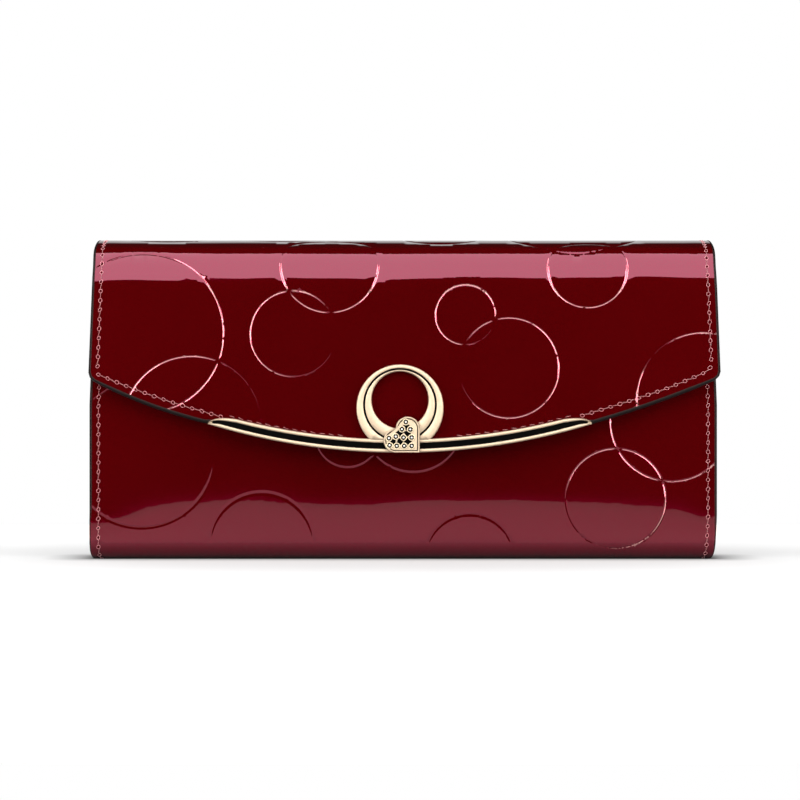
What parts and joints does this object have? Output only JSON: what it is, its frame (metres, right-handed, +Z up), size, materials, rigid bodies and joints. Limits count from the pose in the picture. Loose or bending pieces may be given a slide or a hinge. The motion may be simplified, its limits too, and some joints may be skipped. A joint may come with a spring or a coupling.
{
  "type": "long flap wallet",
  "caption": "Long wallet with a fold-over flap on a crowned top fold, an accordion body with card slots, a central zip pocket, and a metal trim bar with a ring and a heart.",
  "frame": {"origin": "on the flat bottom, midway along the length and midway between the flap's outer face and the back panel's outer face, with the wallet standing closed", "axes": "+X along the length to the viewer's right when facing the flap, +Y from the flap to the back panel, +Z up"},
  "size_m": [0.1952, 0.0334, 0.1],
  "materials": {
    "patent_leather": "high gloss",
    "slot_leather": "satin",
    "gusset_leather": "satin",
    "lining_fabric": "matte",
    "board": "matte",
    "thread": "satin",
    "pale_gold": "polished",
    "black_enamel": "gloss",
    "stones": "polished",
    "zip_metal": "polished",
    "zip_tape": "matte",
    "snap_metal": "polished",
    "steel": "satin"
  },
  "bodies": {
    "case": {"back_leather": "patent_leather", "bottom_leather": "patent_leather", "back_board": "board", "bottom_board": "board", "back_lining": "lining_fabric", "bottom_lining": "lining_fabric", "rear_card_slot_1": "slot_leather", "rear_card_slot_2": "slot_leather", "rear_card_slot_3": "slot_leather", "rear_card_slot_4": "slot_leather", "rear_gusset_left": "gusset_leather", "rear_gusset_right": "gusset_leather", "back_stitching": "thread"},
    "fold_1": {"fold_leather_1": "patent_leather", "fold_lining_1": "lining_fabric"},
    "fold_2": {"fold_leather_2": "patent_leather", "fold_lining_2": "lining_fabric"},
    "fold_3": {"fold_leather_3": "patent_leather", "fold_lining_3": "lining_fabric"},
    "flap": {"flap_leather": "patent_leather", "flap_board": "board", "flap_lining": "lining_fabric", "flap_stitching": "thread", "trim_bar": "pale_gold", "trim_bar_inlay": "black_enamel", "trim_ring": "pale_gold", "trim_ring_inlay": "black_enamel", "trim_screws": "steel", "heart_setting": "pale_gold", "heart_stones": "stones", "snap_stud": "snap_metal", "snap_stud_washer": "steel"},
    "pocket": {"pocket_front_wall": "lining_fabric", "pocket_rear_wall": "lining_fabric", "pocket_side_seams": "lining_fabric", "pocket_floor": "lining_fabric", "front_gusset_left": "gusset_leather", "front_gusset_right": "gusset_leather", "zip_tape_front": "zip_tape", "zip_tape_rear": "zip_tape", "zip_teeth_front": "zip_metal", "zip_teeth_rear": "zip_metal", "zip_stops": "zip_metal"},
    "front_panel": {"front_leather": "patent_leather", "front_board": "board", "front_lining": "lining_fabric", "front_card_slot_1": "slot_leather", "front_card_slot_2": "slot_leather", "snap_socket": "snap_metal", "snap_socket_washer": "steel", "front_stitching": "thread"},
    "slider": {"zip_slider": "zip_metal"},
    "pull": {"zip_pull": "zip_metal"}
  },
  "joints": [
    {"name": "fold_hinge_1", "type": "hinge", "parent": "case", "child": "fold_1", "pos_m": [0, 0.01454, 0.0963], "axis": [-1, 0, 0], "range_deg": [0, 45]},
    {"name": "fold_hinge_2", "type": "hinge", "parent": "fold_1", "child": "fold_2", "pos_m": [0, 0.0113, 0.09954], "axis": [-1, 0, 0], "range_deg": [0, 45]},
    {"name": "fold_hinge_3", "type": "hinge", "parent": "fold_2", "child": "fold_3", "pos_m": [0, -0.00952, 0.09697], "axis": [-1, 0, 0], "range_deg": [0, 45]},
    {"name": "fold_hinge_4", "type": "hinge", "parent": "fold_3", "child": "flap", "pos_m": [0, -0.0131, 0.09297], "axis": [-1, 0, 0], "range_deg": [0, 45]},
    {"name": "pocket_tilt", "type": "hinge", "parent": "case", "child": "pocket", "pos_m": [0, -0.0108, 0.005], "axis": [1, 0, 0], "range_deg": [0, 7]},
    {"name": "front_tilt", "type": "hinge", "parent": "pocket", "child": "front_panel", "pos_m": [0, -0.0108, 0.005], "axis": [1, 0, 0], "range_deg": [0, 7]},
    {"name": "zip_slide", "type": "slide", "parent": "pocket", "child": "slider", "axis": [1, 0, 0], "range_m": [0, 0.164]},
    {"name": "pull_hinge", "type": "hinge", "parent": "slider", "child": "pull", "pos_m": [-0.082, 0.0012, 0.079], "axis": [0, -1, 0], "range_deg": [0, 170]}
  ],
  "couplings": [
    {"joint": "fold_hinge_2", "follows": "fold_hinge_1", "ratio": 1},
    {"joint": "fold_hinge_3", "follows": "fold_hinge_1", "ratio": 1},
    {"joint": "fold_hinge_4", "follows": "fold_hinge_1", "ratio": 1},
    {"joint": "pocket_tilt", "follows": "fold_hinge_1", "ratio": 0.1555},
    {"joint": "front_tilt", "follows": "fold_hinge_1", "ratio": 0.1555}
  ]
}
